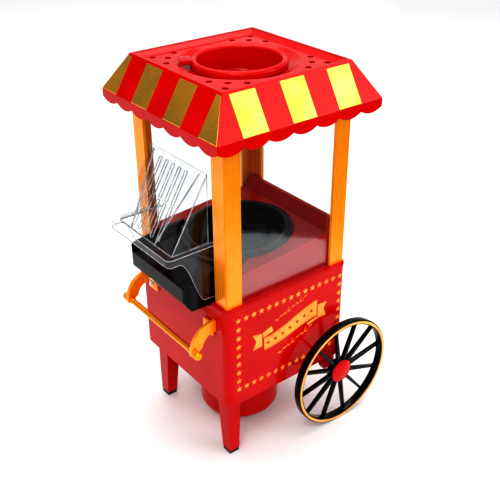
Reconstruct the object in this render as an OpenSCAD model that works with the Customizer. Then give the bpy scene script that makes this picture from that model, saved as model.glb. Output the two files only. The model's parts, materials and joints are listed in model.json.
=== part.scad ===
// Table-top popcorn cart: hot-air popper in a fairground wagon with a striped canopy.
// Millimetres, +Z up, front towards -Y. Origin on the table under the middle of the
// bounding box. Inside the modules Y = 0 is the middle of the cabinet; centred() moves
// the whole cart so that the origin lands where it is stated.

/* [View] */
// which sub-part to draw
// smoothness of round surfaces
smooth = 64; // [32:8:96]

/* [Cabinet] */
// width and depth of the cabinet
cab_w = 146.6; // [140:0.2:156]
// height of the cabinet's lower edge above the table
cab_z0 = 71; // [66:0.5:76]
// height of the cabinet's top edge
cab_z1 = 180.5; // [176:0.5:186]
// radius of the cabinet's upright corners
cab_r = 8; // [5:0.5:12]
// wall thickness of the mouldings
wall = 2.5; // [2:0.1:3]

/* [Canopy] */
// width over the vertical valance
roof_w = 177; // [170:0.5:184]
// width over the top rim
roof_top_w = 137; // [130:0.5:142]
// height where the slope meets the valance
roof_z0 = 347; // [342:0.5:352]
// height of the top rim
roof_z1 = 380; // [374:0.5:386]
// height of the notches between the scallops
notch_z = 340; // [337:0.5:343]
// how far each scallop hangs below the notches
scallop_drop = 3.8; // [2:0.1:6]
// scallops along each side
scallops = 7; // [5:2:9]

/* [Measuring cup] */
// inside radius of the cup
cup_r = 37.2; // [34:0.2:39]
// depth of the bowl
cup_depth = 25; // [16:0.5:26]
// direction of the thumb tab, from +X
tab_angle = 242; // [200:1:300]

/* [Posts and windows] */
// distance from the middle to the outer faces of the posts
post_half = 70.4; // [69:0.1:72]
// width of each flange
post_w = 17.2; // [14:0.2:19]
// thickness of the clear panes
pane_t = 1.2; // [1:0.1:1.3]

/* [Deck and chamber] */
// tilt of the deck, rising to the rear
deck_tilt = 4; // [2:0.5:5]
// height of the deck at the middle of the collar
deck_z = 211.5; // [208:0.5:214]
// distance of the collar's middle in front of the cabinet's middle
collar_y = 5.5; // [4:0.5:7]
// outside radius of the collar
collar_r = 55; // [53:0.5:56]
// inside radius of the collar
chamber_r = 46.5; // [43:0.5:48]

/* [Hood] */
// reach of the hood's front lip from the middle
hood_reach = 115; // [112:0.5:120]
// height of the sloping panel's top edge
hood_z1 = 303.5; // [296:0.5:310]
// height of the brim
brim_z = 237.8; // [236:0.2:242]
// width over the sloping panel
hood_w = 88; // [84:0.5:90]
// width over the brim and skirts
brim_w = 100; // [99.5:0.1:100.5]

/* [Handle] */
// diameter of the push bar
bar_d = 5.6; // [4:0.2:7]
// distance of the push bar from the middle
bar_y = 97.6; // [96:0.2:100]
// height of the push bar
bar_z = 139.5; // [136:0.5:144]

/* [Wheels and legs] */
// radius of the wheels
wheel_r = 60; // [56:0.5:62]
// distance from the middle to the outer faces of the wheels
wheel_x = 91.4; // [91:0.1:94]
// distance of the axle behind the middle
axle_y = 60.5; // [56:0.5:62]
// number of spokes
spokes = 12; // [8:1:16]
// diameter of the axle
axle_d = 5; // [4:0.5:6]
// radius of the motor housing
motor_r = 41.5; // [38:0.5:43]

/* [Hidden] */
$fn = smooth;
eps = 0.01;
run = 0.05;                               // radial running clearance of shafts
cab_h = cab_w / 2;
mid_y = (axle_y + wheel_r - hood_reach) / 2;
rh = roof_w / 2;
rt = roof_top_w / 2;
roof_t = 2.6;                             // canopy wall, measured level
floor_z = roof_z1 - 3.5;                  // roof pan
dish_z = roof_z1 - 8;                     // seat of the cup
dish_r = 54.5;
ledge_z = roof_z1 - 18;                   // where posts and panes end
seat_r = cup_r + 2.5;
cup_top = roof_z1 - 1;
pitch = roof_w / scallops;
scallop_r = (pitch * pitch / 4 + scallop_drop * scallop_drop) / (2 * scallop_drop);
post_t = 3;
pane_x = post_half - post_t - pane_t;     // inner face of the side panes
deck_h = pane_x - 0.3;                    // half width of the deck
deck_hd = post_half - post_t - pane_t - 0.2; // half depth of the deck
slope = tan(deck_tilt);
collar_h = 4.2;
chute_h = brim_w / 2 - 1.5;               // half width of the chute
chute_y = 98;
chute_z = 176.5;
lip_z = 201;                              // front edge of the chute's floor
peg_y = 71;
peg_z = 193;
peg_r = 2;
skirt_t = 1.2;
foil = 0.25;
arm_x = 56;
arm_t = 4;
arm_cy = 76;
ball_x = 62.4;
ball_r = 4.2;
foot_h = 4;
axle_z = wheel_r;
wheel_in = wheel_x - 8.6;                 // inner face of the rim
spoke_x = wheel_x - 9;
ring_r1 = wheel_r - 1.2;                  // gold ring on the rim
ring_r0 = wheel_r - 3.8;
hub_in = 80;
cap_r = 12.9;
housing_z = 5;
duct_r = 39;
switch_x = 34;
switch_z = 112;
gland_x = -36;
gland_z = 88;
red = [0.85, 0.05, 0.05];
dark_red = [0.62, 0.03, 0.04];
gold = [0.95, 0.58, 0.08];
foil_gold = [0.93, 0.76, 0.3];
black = [0.06, 0.06, 0.06];
steel = [0.75, 0.75, 0.77];
clear = [0.85, 0.93, 0.97, 0.3];

// ---------- helpers ----------

module centred() { translate([0, -mid_y, 0]) children(); }

// a plan or side outline drawn in (Y, Z) and given a thickness along X
module across(x0, x1) {
    translate([x0, 0, 0]) rotate([90, 0, 90]) linear_extrude(x1 - x0) children();
}

module rod_x(x0, x1, r) { translate([x0, 0, 0]) rotate([0, 90, 0]) cylinder(h = x1 - x0, r = r); }

module round_square(w, r) {
    h = w / 2 - r;
    union() {
        square([w - 2 * r, w], center = true);
        square([w, w - 2 * r], center = true);
        for (x = [-h, h], y = [-h, h]) translate([x, y]) circle(r);
    }
}

module ring(r_out, r_in, h) {
    difference() {
        cylinder(h = h, r = r_out);
        translate([0, 0, -1]) cylinder(h = h + 2, r = r_in);
    }
}

// the collar's own plane: tilted with the deck, middle of the collar at its origin
module on_deck() { translate([0, -collar_y, deck_z]) rotate([deck_tilt, 0, 0]) children(); }

// a four-sided slope between two levels, as the overlap of two straight prisms
module slopes(z0, w0, z1, w1) {
    intersection() {
        across(-w0 - w1, w0 + w1) polygon([[-w0, z0], [w0, z0], [w1, z1], [-w1, z1]]);
        rotate([90, 0, 0]) linear_extrude(2 * (w0 + w1), center = true)
            polygon([[-w0, z0], [w0, z0], [w1, z1], [-w1, z1]]);
    }
}

module star(r) {
    polygon([for (i = [0:9]) let (a = 90 + i * 36, q = i % 2 == 0 ? r : r * 0.42)
        [q * cos(a), q * sin(a)]]);
}

// ---------- cabinet ----------

module cabinet_shell() color(red) centred() difference() {
    union() {
        translate([0, 0, cab_z0]) linear_extrude(cab_z1 - cab_z0) round_square(cab_w, cab_r);
        translate([0, 0, cab_z1 - 5]) linear_extrude(3.6) round_square(cab_w + 1, cab_r + 0.5);
    }
    translate([0, 0, cab_z0 - 1]) linear_extrude(cab_z1 - cab_z0 - wall + 1)
        round_square(cab_w - 2 * wall, cab_r - wall);
    // way up for the chamber, and the notch the chute sits in
    translate([0, -collar_y, cab_z1 - 10]) cylinder(h = 20, r = chamber_r + 6);
    translate([-brim_w / 2 - 0.5, -cab_h - 2, chute_z - 0.5]) cube([brim_w + 1, 40, 10]);
    // openings in the rear wall
    translate([switch_x - 8, cab_h - 5, switch_z - 12]) cube([16, 10, 24]);
    translate([gland_x, cab_h - 5, gland_z]) rotate([-90, 0, 0]) cylinder(h = 10, r = 4.5);
    for (i = [-3:3]) translate([i * 7 - 1.5, cab_h - 5, cab_z1 - 40]) cube([3, 10, 22]);
}

module base_cover() color(red) centred() difference() {
    translate([0, 0, cab_z0]) linear_extrude(wall)
        round_square(cab_w - 2 * wall - 0.2, cab_r - wall);
    translate([0, -collar_y, cab_z0 - 1]) cylinder(h = 10, r = duct_r - 1.5);
}

module base_screws() color(steel) centred()
    for (x = [-56, 56], y = [-30, 34]) translate([x, y, cab_z0 - 1.6]) difference() {
        cylinder(h = 1.6, r = 3);
        translate([-2, -0.35, -1]) cube([4, 0.7, 1.6]);
    }

module switch_bezel() color(black) centred() translate([switch_x, cab_h, switch_z])
    difference() {
        union() {
            translate([-9.5, 0, -14]) cube([19, 2, 28]);
            translate([-7.8, -14, -11.8]) cube([15.6, 14 + eps, 23.6]);
        }
        translate([-5.6, -12.5, -9.8]) cube([11.2, 20, 19.6]);
        translate([0, -3, 0]) rod_x(-6.7, 6.7, 1.2 + run);
    }

module switch_rocker() color(red) centred() translate([switch_x, cab_h - 3, switch_z])
    rotate([8, 0, 0]) union() {
        across(-5.2, 5.2) polygon([[-4, -3.5], [4.6, -8.5], [6.4, -8], [5.2, 0],
            [6.4, 8], [4.6, 8.5], [-4, 3.5]]);
        rod_x(-6.4, 6.4, 1.2);
    }

module cable_gland() color(black) centred() translate([gland_x, cab_h, gland_z])
    rotate([-90, 0, 0]) difference() {
        union() {
            cylinder(h = 3, r1 = 7, r2 = 6);
            translate([0, 0, -8]) cylinder(h = 8 + eps, r = 4.5);
        }
        translate([0, 0, -10]) cylinder(h = 20, r = 2.8);
    }

// stars round the edge of each side, a ribbon across the middle
module foil_pattern() {
    for (i = [0:14], z = [88.6, 167]) translate([-60 + i * 8.9, z]) star(3.4);
    for (k = [1:7], y = [-60, 64.6]) translate([y, 88.6 + k * 9.8]) star(3.4);
    // middle of the ribbon, rising towards the rear, with its two folded tails
    difference() {
        polygon([for (side = [1, -1], i = [0:16]) let (y = side * (-30 + i * 4.1) + (side < 0 ? 5.6 : 0))
            [y, 134.6 + 7 * sin(90 * (y - 6) / 34) + side * (7.8 + y / 27)]]);
        for (i = [0:6]) translate([-25.5 + i * 9, 134.6 + 7 * sin(90 * (i * 9 - 31.5) / 34)]) star(2.9);
    }
    polygon([[-43.8, 143.2], [-32.6, 140.8], [-32.6, 126.6], [-43.6, 126], [-39.4, 134.6]]);
    polygon([[-31.9, 141], [-21.4, 144.8], [-19.2, 138.4], [-30.6, 135.6]]);
    polygon([[37, 144.4], [48.6, 143.8], [44.8, 137.4], [48.2, 128], [37, 128.4]]);
    polygon([[24.6, 125.4], [36.4, 128], [36.2, 131], [23.2, 128.6]]);
}

module foil_right() color(foil_gold) centred() across(cab_h, cab_h + foil) foil_pattern();

module foil_left() color(foil_gold) centred() across(-cab_h - foil, -cab_h) foil_pattern();

// ---------- deck, collar and popping chamber ----------

module deck_outline(t) {
    y = deck_hd - t;
    polygon([[-y, cab_z1 - (t > 0 ? 1 : 0)], [y, cab_z1 - (t > 0 ? 1 : 0)], [y, 226 - t * 2],
        [y - 4, 226 - t * 2], [y - 12 , deck_z + slope * (y - 12 + collar_y) - t],
        [-y, deck_z + slope * (collar_y - y) - t]]);
}

module deck() color(dark_red) centred() difference() {
    across(-deck_h, deck_h) deck_outline(0);
    across(-deck_h + wall, deck_h - wall) deck_outline(wall);
    on_deck() translate([0, 0, -60]) cylinder(h = 120, r = chamber_r + 2.2);
    translate([-chute_h - 3.5, -deck_hd - 1, cab_z1 - 1])
        cube([2 * chute_h + 7, deck_hd - 32, 60]);
}

module collar_ring() color(black) centred() on_deck() rotate_extrude()
    polygon([[chamber_r, -9], [chamber_r + 1.8, -9], [chamber_r + 1.8, 0.2], [collar_r, 0.2],
        [collar_r, 1.6], [collar_r - 1.2, 3], [chamber_r + 2.6, collar_h],
        [chamber_r + 0.8, collar_h - 0.3], [chamber_r, collar_h - 1.6]]);

module popping_chamber() color(steel) centred() on_deck() difference() {
    union() {
        translate([0, 0, -62]) cylinder(h = 52.6, r = chamber_r - 0.4);
        translate([0, 0, -11.4]) cylinder(h = 2, r = chamber_r + 1.6);
    }
    translate([0, 0, -60]) cylinder(h = 80, r = chamber_r - 1.6);
    for (a = [0:30:330]) rotate([0, 0, a]) translate([14, -1, -70]) cube([24, 2, 20]);
}

module air_duct() color(black) centred() translate([0, -collar_y, cab_z0 + wall])
    ring(duct_r + 1.5, duct_r, 70);

module heater() color(steel) centred() translate([0, -collar_y, 106]) {
    difference() {
        union() {
            translate([-duct_r + 0.4, -0.4, 0]) cube([2 * duct_r - 0.8, 0.8, 30]);
            translate([-0.4, -duct_r + 0.4, 0]) cube([0.8, 2 * duct_r - 0.8, 30]);
            for (k = [0:3], r = [18, 26, 34]) translate([0, 0, 5 + 6.5 * k])
                rotate_extrude() translate([r, 0]) circle(0.9);
        }
        cylinder(h = 100, r = 6, center = true);
    }
}

module motor() color(steel) centred() translate([0, -collar_y, 20]) difference() {
    union() {
        cylinder(h = 38, r = 16);
        translate([0, 0, 38 - eps]) cylinder(h = 4, r = 5);
    }
    translate([0, 0, 8]) cylinder(h = 60, r = 1.5 + run);
}

module motor_bracket() color(steel) centred() translate([0, -collar_y, 58]) difference() {
    union() {
        ring(motor_r - 2.3, motor_r - 6, 2);
        for (a = [0, 120, 240]) rotate([0, 0, a]) translate([8, -4, 0]) cube([28.5, 8, 2]);
        cylinder(h = 2, r = 14);
    }
    translate([0, 0, -1]) cylinder(h = 10, r = 5.2);
}

module fan() color(black) centred() translate([0, -collar_y, 76]) {
    union() {
        translate([0, 0, -46]) cylinder(h = 50, r = 1.5);
        cylinder(h = 16, r = 6);
        cylinder(h = 1.5, r = 30);
        for (a = [0:30:330]) rotate([0, 0, a]) translate([5, -0.6, 0]) cube([30, 1.2, 14]);
    }
}

module motor_housing() color(red) centred() translate([0, -collar_y, housing_z])
    difference() {
        rotate_extrude() union() {
            square([motor_r - 8, cab_z0 - housing_z]);
            translate([0, 8]) square([motor_r, cab_z0 - housing_z - 8]);
            intersection() {
                translate([motor_r - 8, 8]) circle(8);
                square([motor_r, 40]);
            }
        }
        translate([0, 0, 2.2]) cylinder(h = 100, r = motor_r - 8);
        translate([0, 0, 8]) cylinder(h = 100, r = motor_r - 2.2);
        for (i = [-3:3]) translate([i * 7 - 1.5, -18, -1]) cube([3, 36, 6]);
    }

// ---------- chute and hood ----------

module chute_side(t) {
    polygon([[-chute_y + t, 186 + t / 2], [-chute_y + 5 + t, chute_z + 1.5 - (t > 0 ? 3 : 0)],
        [-30 - t, chute_z - (t > 0 ? 3 : 0)], [-30 - t, 213 - 2 * t],
        [-58, 212 - 2 * t], [-chute_y + t, 206 - 2 * t]]);
}

module chute_plan(h) {
    difference() {
        union() {
            translate([-h, -chute_y + 7]) square([2 * h, 60]);
            translate([-h + 7, -chute_y]) square([2 * h - 14, 60]);
            for (x = [-h + 7, h - 7]) translate([x, -chute_y + 7]) circle(7);
        }
        square([300, 70], center = true);
    }
}

module chute() color(black) centred() difference() {
    union() {
        intersection() {
            translate([0, 0, 150]) linear_extrude(100) chute_plan(chute_h);
            across(-chute_h, chute_h) chute_side(0);
        }
        // shoulders that close the gap to the deck behind the hood's skirts
        for (s = [-1, 1]) translate([s * (chute_h + 1.5) - 1.9, -57, 196]) cube([3.8, 23, 11]);
    }
    // trough the corn slides down
    across(-chute_h + 3, chute_h - 3) polygon([[-chute_y - 5, lip_z - 0.6], [-chute_y, lip_z],
        [-20, 208], [-20, 230], [-chute_y - 5, 230]]);
    // hollow underside
    across(-chute_h + wall, chute_h - wall) polygon([[-chute_y + 3, 187],
        [-chute_y + 8, 170], [-20, 170], [-20, 204], [-chute_y + 3, lip_z - 3]]);
    on_deck() translate([0, 0, -80]) cylinder(h = 160, r = collar_r + 0.1);
}

module hood_pegs() color(black) centred() for (s = [-1, 1]) translate([0, -peg_y, peg_z])
    rod_x(s > 0 ? chute_h : -chute_h - 3.2, s > 0 ? chute_h + 3.2 : -chute_h, peg_r);

module skirt_outline() {
    difference() {
        polygon([[-hood_reach, brim_z], [-hood_reach, brim_z - 7.8],
            [-hood_reach + 11, brim_z - 8], [-hood_reach + 16, brim_z - 10],
            [-hood_reach + 19.5, brim_z - 16], [-hood_reach + 22.5, brim_z - 24],
            [-hood_reach + 26, brim_z - 38], [-hood_reach + 29, brim_z - 46],
            [-hood_reach + 33, brim_z - 51.5], [-hood_reach + 37, brim_z - 52.5],
            [-62, brim_z - 53.4], [-62, brim_z]]);
        translate([-peg_y, peg_z]) circle(peg_r + run);
    }
}

module hood() color(clear) centred() {
    hw = hood_w / 2;
    bw = brim_w / 2;
    y0 = -hood_reach + 7.5;
    y1 = -68.7;
    len = norm([y1 - y0, hood_z1 - brim_z]);
    lean = atan2(y1 - y0, hood_z1 - brim_z);
    union() {
        // sloping front panel with its slots, drawn flat and leant back
        translate([0, y0, brim_z - 0.3]) rotate([90 - lean, 0, 0]) translate([0, 0, -1.5])
            linear_extrude(1.5) difference() {
                translate([-hw, 0]) square([2 * hw, len]);
                for (row = [[0.07, 0.45], [0.51, 0.9]], i = [0:4])
                    translate([-hw * 0.54 + i * 10, len * row[0]]) union() {
                        square([3, len * (row[1] - row[0])]);
                        translate([1.5, 0]) circle(1.5);
                        translate([1.5, len * (row[1] - row[0])]) circle(1.5);
                    }
            }
        for (s = [-1, 1]) across(s > 0 ? hw - skirt_t : 0.2 - hw, s > 0 ? hw - 0.2 : -hw + skirt_t)
            polygon([[y0 + 0.65, brim_z - 0.68], [y1 - 0.13, brim_z - 0.68],
                [y1 - 0.13, hood_z1 - 2]]);
        // brim round the foot of the panel
        difference() {
            translate([-bw, -hood_reach, brim_z - skirt_t])
                cube([2 * bw, hood_reach - 62, skirt_t]);
            translate([-hw + skirt_t, y0 + 1.8, brim_z - 5])
                cube([2 * (hw - skirt_t), 80, 10]);
        }
        translate([-bw, -hood_reach, brim_z - 7.2]) cube([2 * bw, skirt_t, 7.2]);
        for (s = [-1, 1]) across(s > 0 ? bw - skirt_t : -bw, s > 0 ? bw : -bw + skirt_t)
            skirt_outline();
    }
}

// ---------- posts, windows and canopy ----------

module post(sx, sy) color(gold) centred() translate([0, 0, cab_z1]) scale([sx, sy, 1])
    linear_extrude(ledge_z - cab_z1) difference() {
        translate([post_half - post_w, post_half - post_w]) square(post_w);
        translate([post_half - post_w - 1, post_half - post_w - 1])
            square(post_w + 1 - post_t);
        translate([post_half - 0.8, post_half - 0.8]) square(2);
    }

module post_front_left() post(-1, -1);
module post_front_right() post(1, -1);
module post_rear_left() post(-1, 1);
module post_rear_right() post(1, 1);

module pane(x0) color(clear) centred() translate([x0, -64, cab_z1])
    cube([pane_t, 128, ledge_z - cab_z1]);

module window_right() pane(pane_x);
module window_left() pane(-pane_x - pane_t);
module window_rear() color(clear) centred()
    translate([-pane_x + 3, post_half - post_t - pane_t + 0.1, cab_z1])
        cube([2 * pane_x - 6, pane_t - 0.1, ledge_z - cab_z1]);

module valance() {
    difference() {
        union() {
            translate([-rh, notch_z]) square([roof_w, roof_z0 - notch_z]);
            for (i = [0:scallops - 1]) intersection() {
                translate([-rh + (i + 0.5) * pitch, notch_z - scallop_drop + scallop_r])
                    circle(scallop_r);
                translate([-rh + i * pitch, notch_z - scallop_drop - 1])
                    square([pitch, scallop_drop + 3]);
            }
        }
    }
}

module canopy() color(red) centred() difference() {
    union() {
        difference() {
            slopes(roof_z0, rh, roof_z1, rt);
            slopes(roof_z0 - eps, rh - roof_t, roof_z1, rt - roof_t);
        }
        // roof pan with its raised rim
        difference() {
            translate([-rt + 1, -rt + 1, floor_z - 2.5])
                cube([roof_top_w - 2, roof_top_w - 2, roof_z1 - floor_z + 2.5]);
            slopes(floor_z, rt - 9, roof_z1 + eps, rt - 1.5);
            translate([0, 0, floor_z - 5]) cylinder(h = 10, r = dish_r);
        }
        rotate_extrude() polygon([[seat_r, dish_z - 2.5], [seat_r + 5, dish_z - 2.5],
            [dish_r + 2, floor_z - 2.5], [dish_r + 2, floor_z], [dish_r, floor_z],
            [seat_r + 5.5, dish_z], [seat_r, dish_z]]);
        // ledge that posts and panes butt against
        difference() {
            slopes(ledge_z, rh - 10, ledge_z + 2, rh - 12);
            translate([-62, -62, ledge_z - 1]) cube([124, 124, 5]);
        }
        // scalloped valance
        for (a = [0:90:270]) rotate([0, 0, a]) translate([0, -rh + 2, 0])
            rotate([90, 0, 0]) linear_extrude(2) valance();
    }
    for (x = [-1, 1], y = [-1, 1], p = [[31.5, 54.5], [44, 45], [53.5, 32.5], [53.5, 54.5]])
        translate([x * p[0], y * p[1], floor_z - 5]) cylinder(h = 10, r = 2.8);
}

// foil bands on the slopes: odd ones at front and rear, even ones at the sides
module band_set(first) {
    difference() {
        intersection() {
            across(-rh, rh) polygon([[-rh - foil * 1.2, roof_z0 + 0.3], [0, roof_z0 + 0.3],
                [0, roof_z1 - 2], [-rt - foil * 1.2 - 2 * (rh - rt) / (roof_z1 - roof_z0),
                roof_z1 - 2]]);
            rotate([90, 0, 0]) linear_extrude(2 * rh, center = true)
                polygon([[-rh + 0.6, roof_z0], [rh - 0.6, roof_z0], [rt - 0.6, roof_z1],
                    [-rt + 0.6, roof_z1]]);
            for (i = [first:2:scallops - 1]) translate([-rh + i * pitch, -rh - 5, roof_z0 - 5])
                cube([pitch, rh + 5, 60]);
        }
        slopes(roof_z0 - eps, rh + eps, roof_z1 + eps, rt);
    }
}

module canopy_stripes() color(foil_gold) centred() for (a = [0:90:270])
    rotate([0, 0, a]) band_set(a % 180 == 0 ? 0 : 1);

module measuring_cup() color(red) centred() union() {
    rotate_extrude() polygon([[0, cup_top - cup_depth - 2], [cup_r - 3, cup_top - cup_depth - 2],
        [cup_r + 2, cup_top - cup_depth + 4], [cup_r + 2, dish_z + 0.3],
        [cup_r + 5.8, dish_z + 0.3], [cup_r + 5.8, cup_top - 1.6], [cup_r + 4.4, cup_top - 0.2],
        [cup_r + 3, cup_top], [cup_r + 1, cup_top - 0.4], [cup_r, cup_top - 1.6],
        [cup_r, cup_top - cup_depth + 5], [cup_r - 4, cup_top - cup_depth],
        [0, cup_top - cup_depth]]);
    rotate([0, 0, tab_angle]) translate([cup_r + 4, -7, cup_top - 3]) cube([11, 14, 5.5]);
}

// ---------- handle ----------

module handle_bar() color(gold) centred() translate([0, -bar_y, bar_z]) union() {
    rod_x(-ball_x, ball_x, bar_d / 2);
    for (x = [-ball_x, ball_x]) translate([x, 0, 0]) sphere(ball_r);
}

module handle_arm(s) color(gold) centred() difference() {
    union() {
        across(s * arm_x - arm_t / 2, s * arm_x + arm_t / 2) union() {
            intersection() {
                translate([-arm_cy, bar_z + 0.5]) difference() {
                    circle(25.5);
                    circle(13);
                }
                translate([-arm_cy - 30, bar_z - 1]) square([30, 40]);
            }
            translate([-bar_y, bar_z]) circle(4.6);
        }
        // foot plate on the cabinet's front
        translate([s > 0 ? arm_x - 16 : -arm_x, -arm_cy, bar_z + 7.5])
            cube([16, arm_cy - cab_h, 14]);
    }
    translate([0, -bar_y, bar_z]) rod_x(-80, 80, bar_d / 2);
    translate([s * (arm_x - 8), -arm_cy - 5, bar_z + 13.5]) rotate([-90, 0, 0])
        cylinder(h = 10, r = 1.6);
}

module handle_arm_left() handle_arm(-1);
module handle_arm_right() handle_arm(1);

module handle_screws() color(steel) centred() for (s = [-1, 1])
    translate([s * (arm_x - 8), -arm_cy, bar_z + 13.5]) rotate([90, 0, 0]) difference() {
        union() {
            cylinder(h = 1.4, r = 3);
            translate([0, 0, -2.6]) cylinder(h = 2.6 + eps, r = 1.5);
        }
        for (a = [0, 90]) rotate([0, 0, a]) translate([-1.8, -0.35, 0.7]) cube([3.6, 0.7, 2]);
    }

// ---------- legs, axle and wheels ----------

module leg(s) color(red) centred() intersection() {
    across(-100, 100) polygon([[-65, foot_h], [-53.5, foot_h], [-50, cab_z0], [-66, cab_z0]]);
    rotate([90, 0, 0]) linear_extrude(200, center = true) polygon([[s * 51, foot_h],
        [s * 63, foot_h], [s * 62, cab_z0], [s * 45, cab_z0]]);
}

module foot(s) color(black) centred() translate([s * 57, -59.25, 0]) union() {
    translate([-5.6, -5.4, 0]) cube([11.2, 10.8, foot_h]);
    translate([-4.6, -4.4, 0]) cube([9.2, 8.8, foot_h]);
}

module leg_left() leg(-1);
module leg_right() leg(1);
module foot_left() foot(-1);
module foot_right() foot(1);

module axle() color(steel) centred() translate([0, axle_y, axle_z])
    rod_x(-wheel_x + 5.5, wheel_x - 5.5, axle_d / 2);

module axle_bracket(s) color(red) centred() translate([0, axle_y, 0]) difference() {
    union() {
        translate([s > 0 ? 63 : -67, -9, axle_z]) cube([4, 18, cab_z0 - axle_z]);
        translate([0, 0, axle_z]) rod_x(s > 0 ? 63 : -67, s > 0 ? 67 : -63, 9);
        translate([0, 0, axle_z]) rod_x(s > 0 ? 63 : -hub_in + 0.5,
            s > 0 ? hub_in - 0.5 : -63, 6);
    }
    translate([0, 0, axle_z]) rod_x(-100, 100, axle_d / 2);
}

module axle_bracket_left() axle_bracket(-1);
module axle_bracket_right() axle_bracket(1);

module wheel(s) color(black) centred() translate([0, axle_y, axle_z]) mirror([s > 0 ? 0 : 1, 0, 0])
    difference() {
        union() {
            translate([wheel_in, 0, 0]) rotate([0, 90, 0])
                ring(wheel_r, wheel_r - 5.2, wheel_x - wheel_in - 0.3);
            for (a = [9:360 / spokes:368]) rotate([a, 0, 0])
                translate([spoke_x, -1.5, 8]) cube([4.5, 3, wheel_r - 11]);
            rod_x(hub_in, wheel_x - 3.5, cap_r + 0.5);
        }
        rod_x(0, wheel_x - 5, axle_d / 2 + run);
        translate([wheel_x - 0.8, 0, 0]) rotate([0, 90, 0]) ring(ring_r1, ring_r0, 5);
    }

module wheel_left() wheel(-1);
module wheel_right() wheel(1);

module wheel_ring(s) color(foil_gold) centred() translate([s * wheel_x, axle_y, axle_z])
    rotate([0, -90 * s, 0]) ring(ring_r1, ring_r0, 0.8);

module wheel_ring_left() wheel_ring(-1);
module wheel_ring_right() wheel_ring(1);

module hub_cap(s) color(red) centred() translate([s * (wheel_x - 3.5), axle_y, axle_z])
    rotate([0, 90 * s, 0]) rotate_extrude() intersection() {
        translate([0, 3.3 - 32]) circle(32);
        square([cap_r, 5]);
    }

module hub_cap_left() hub_cap(-1);
module hub_cap_right() hub_cap(1);

cabinet_shell();
base_cover();
deck();
collar_ring();
popping_chamber();
air_duct();
heater();
motor();
motor_bracket();
fan();
motor_housing();
chute();
hood_pegs();
hood();
post_front_left();
post_front_right();
post_rear_left();
post_rear_right();
window_left();
window_right();
window_rear();
canopy();
canopy_stripes();
foil_left();
foil_right();
measuring_cup();
handle_bar();
handle_arm_left();
handle_arm_right();
handle_screws();
leg_left();
leg_right();
foot_left();
foot_right();
axle();
axle_bracket_left();
axle_bracket_right();
wheel_left();
wheel_right();
wheel_ring_left();
wheel_ring_right();
hub_cap_left();
hub_cap_right();
switch_bezel();
switch_rocker();
cable_gland();
base_screws();
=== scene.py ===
# %% [markdown]
# # A table-top popcorn cart
# The cart is a hot-air popper dressed as a fairground wagon. Every rigid piece comes from the CAD
# frame. This lesson dresses those pieces: some keep their CAD mesh and only get a finish, others
# are modelled again with softer edges than the CAD needs. All sizes are metres.

# %% Load the frame
import json
import math

import bpy
from mathutils import Matrix, Quaternion, Vector


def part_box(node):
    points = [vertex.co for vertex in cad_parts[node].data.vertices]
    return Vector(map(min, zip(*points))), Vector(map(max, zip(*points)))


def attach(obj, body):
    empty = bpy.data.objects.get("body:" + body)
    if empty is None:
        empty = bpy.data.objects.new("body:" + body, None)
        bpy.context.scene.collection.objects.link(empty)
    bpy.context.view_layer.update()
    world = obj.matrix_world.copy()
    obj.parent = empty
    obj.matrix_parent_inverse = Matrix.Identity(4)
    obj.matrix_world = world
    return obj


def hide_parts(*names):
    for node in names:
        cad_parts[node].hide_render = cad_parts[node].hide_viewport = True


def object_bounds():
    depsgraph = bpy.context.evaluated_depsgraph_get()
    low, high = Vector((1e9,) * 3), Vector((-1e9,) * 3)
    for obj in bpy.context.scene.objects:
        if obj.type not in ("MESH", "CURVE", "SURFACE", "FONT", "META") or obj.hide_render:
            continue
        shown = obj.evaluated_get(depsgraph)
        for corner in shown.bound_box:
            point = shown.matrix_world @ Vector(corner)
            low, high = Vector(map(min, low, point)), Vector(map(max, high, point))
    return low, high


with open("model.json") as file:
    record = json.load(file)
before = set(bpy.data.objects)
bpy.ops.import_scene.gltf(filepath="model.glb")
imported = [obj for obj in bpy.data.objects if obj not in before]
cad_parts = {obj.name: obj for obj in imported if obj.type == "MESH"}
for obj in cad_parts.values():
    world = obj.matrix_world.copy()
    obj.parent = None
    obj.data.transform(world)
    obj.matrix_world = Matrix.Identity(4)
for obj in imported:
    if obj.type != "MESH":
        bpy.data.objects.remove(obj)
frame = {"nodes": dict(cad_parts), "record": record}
size_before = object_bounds()
MM = 0.001
outer_size = [round(high - low, 4) for low, high in zip(*size_before)]
print("CAD nodes:", len(frame["nodes"]), "outer size:", outer_size)

# %% [markdown]
# ## Measures
# A few measures come straight from the CAD nodes, so that a changed frame changes the dressing
# with it.

# %% Measures taken from the frame
def middle(node):
    low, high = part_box(node)
    return (low + high) / 2


CART_Y = middle("canopy").y            # the middle of the cabinet, posts and canopy
WHEEL = middle("wheel_ring_right")
CUP_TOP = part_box("canopy")[1].z - 1 * MM
print("cart middle y", round(CART_Y, 5), "wheel centre", [round(v, 4) for v in WHEEL])

# %% [markdown]
# ## A small language for finishes
# A finish is a net of shader nodes. Wiring nodes one by one hides the idea, so one small class
# stands for an output socket and lets Python's own + - * / build the Math nodes. Any other node
# comes from one method that takes its type, its settings and its socket values.

# %% Shader sockets that can be added and multiplied
class Wire:
    def __init__(self, net, socket):
        self.net, self.socket = net, socket

    def op(self, kind, other):
        return self.net.add("Math", {"operation": kind}, {0: self, 1: other})

    def __add__(self, other): return self.op("ADD", other)
    def __mul__(self, other): return self.op("MULTIPLY", other)
    def __lt__(self, other): return self.op("LESS_THAN", other)
    def __pow__(self, other): return self.op("POWER", other)
    __radd__, __rmul__ = __add__, __mul__

    def at_least(self, other): return self.op("MAXIMUM", other)
    def at_most(self, other): return self.op("MINIMUM", other)


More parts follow.
